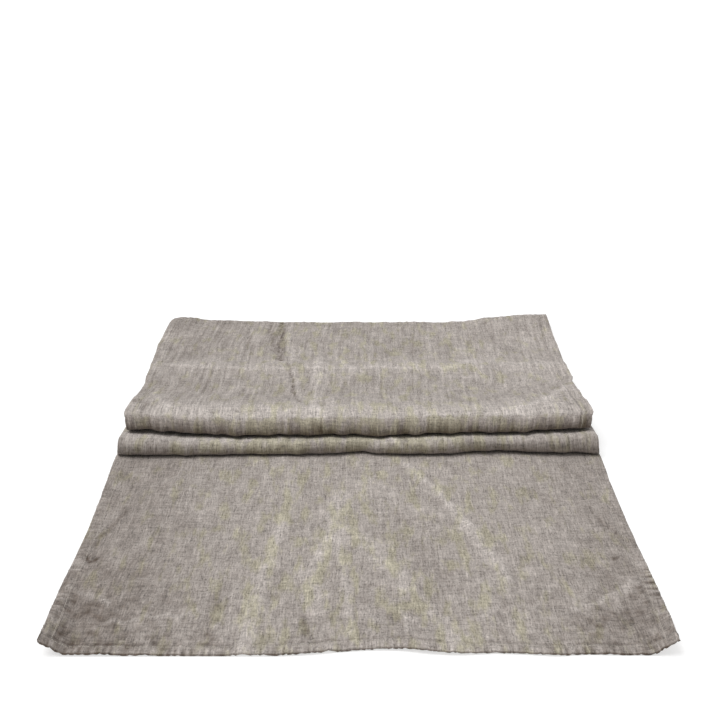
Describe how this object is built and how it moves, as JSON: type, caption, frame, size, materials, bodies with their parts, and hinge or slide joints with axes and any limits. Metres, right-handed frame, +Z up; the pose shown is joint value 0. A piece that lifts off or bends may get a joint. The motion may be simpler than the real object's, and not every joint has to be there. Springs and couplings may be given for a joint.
{
  "type": "table runner",
  "caption": "Long hemmed linen cloth for a table, laid flat with a rounded double pleat folded across its middle.",
  "frame": {"origin": "on the surface the runner lies on, under the middle of its laid outline", "axes": "+X across the runner to its right edge, +Y from the front edge over the pleats to the back edge, +Z up"},
  "size_m": [0.45, 0.722, 0.0311],
  "materials": {
    "linen": "washed plain-weave linen, natural taupe, slubby and matt",
    "hem_linen": "the same washed linen, three layers, slightly puckered",
    "thread": "spun sewing thread, tone on tone"
  },
  "bodies": {
    "root": {"linen_panel": "linen", "hem_front": "hem_linen", "hem_back": "hem_linen", "hem_left": "hem_linen", "hem_right": "hem_linen", "needle_thread_front": "thread", "needle_thread_back": "thread", "needle_thread_left": "thread", "needle_thread_right": "thread", "bobbin_thread_front": "thread", "bobbin_thread_back": "thread", "bobbin_thread_left": "thread", "bobbin_thread_right": "thread"}
  },
  "joints": []
}
